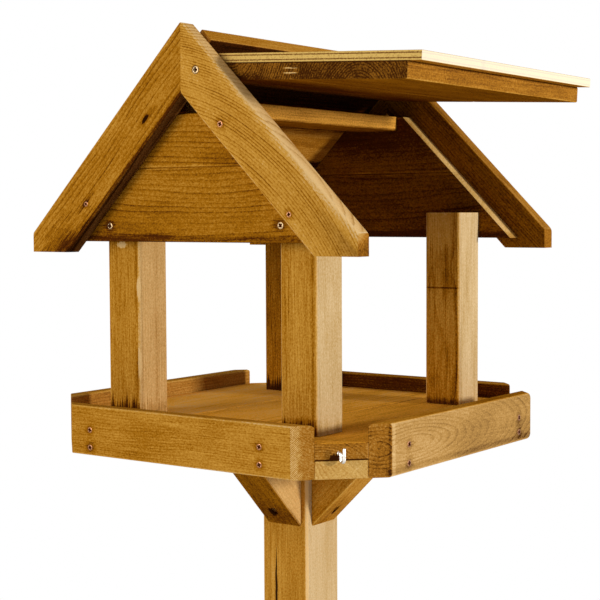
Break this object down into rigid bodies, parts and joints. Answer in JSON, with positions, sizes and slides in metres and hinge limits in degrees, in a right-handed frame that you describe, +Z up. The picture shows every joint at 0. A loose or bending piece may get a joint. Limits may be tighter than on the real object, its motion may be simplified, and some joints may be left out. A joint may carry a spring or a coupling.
{
  "type": "bird table",
  "caption": "Wooden bird table: gabled shelter with a lifting roof lid over a railed tray, on a braced square post with crossed feet.",
  "frame": {"origin": "centre of the crossed feet, on the ground", "axes": "+Z up, +X to the right across the front gable towards the lid's slope, +Y to the rear along the ridge"},
  "size_m": [0.56, 0.56, 1.4719],
  "materials": {
    "stand": "stained",
    "tray": "stained",
    "shelter": "stained",
    "roof": "stained",
    "plywood": "stained",
    "metal": "plated"
  },
  "bodies": {
    "table": {"main_post": "stand", "foot_across": "stand", "foot_along": "stand", "foot_brace_right": "stand", "foot_brace_rear": "stand", "foot_brace_left": "stand", "foot_brace_front": "stand", "tray_brace_right": "stand", "tray_brace_rear": "stand", "tray_brace_left": "stand", "tray_brace_front": "stand", "bearer_front": "tray", "bearer_middle": "tray", "bearer_rear": "tray", "floor_board_left": "tray", "floor_board_middle": "tray", "floor_board_right": "tray", "rail_front": "tray", "rail_rear": "tray", "rail_left": "tray", "rail_right": "tray", "corner_hooks": "metal", "post_front_left": "shelter", "post_front_right": "shelter", "post_rear_left": "shelter", "post_rear_right": "shelter", "gable_front_low": "shelter", "gable_front_high": "shelter", "gable_rear_low": "shelter", "gable_rear_high": "shelter", "bargeboard_front_left": "shelter", "bargeboard_front_right": "shelter", "bargeboard_rear_left": "shelter", "bargeboard_rear_right": "shelter", "ridge_batten": "roof", "roof_board_high": "roof", "roof_board_low": "roof", "roof_ply": "plywood"},
    "lid": {"lid_board_high": "roof", "lid_board_low": "roof", "lid_ply": "plywood", "pivot_screw_front": "metal", "pivot_screw_rear": "metal"}
  },
  "joints": [
    {"name": "lid_pivot", "type": "hinge", "parent": "table", "child": "lid", "pos_m": [0.01803, 0, 1.42599], "axis": [0, -1, 0], "range_deg": [-42, 28]}
  ]
}
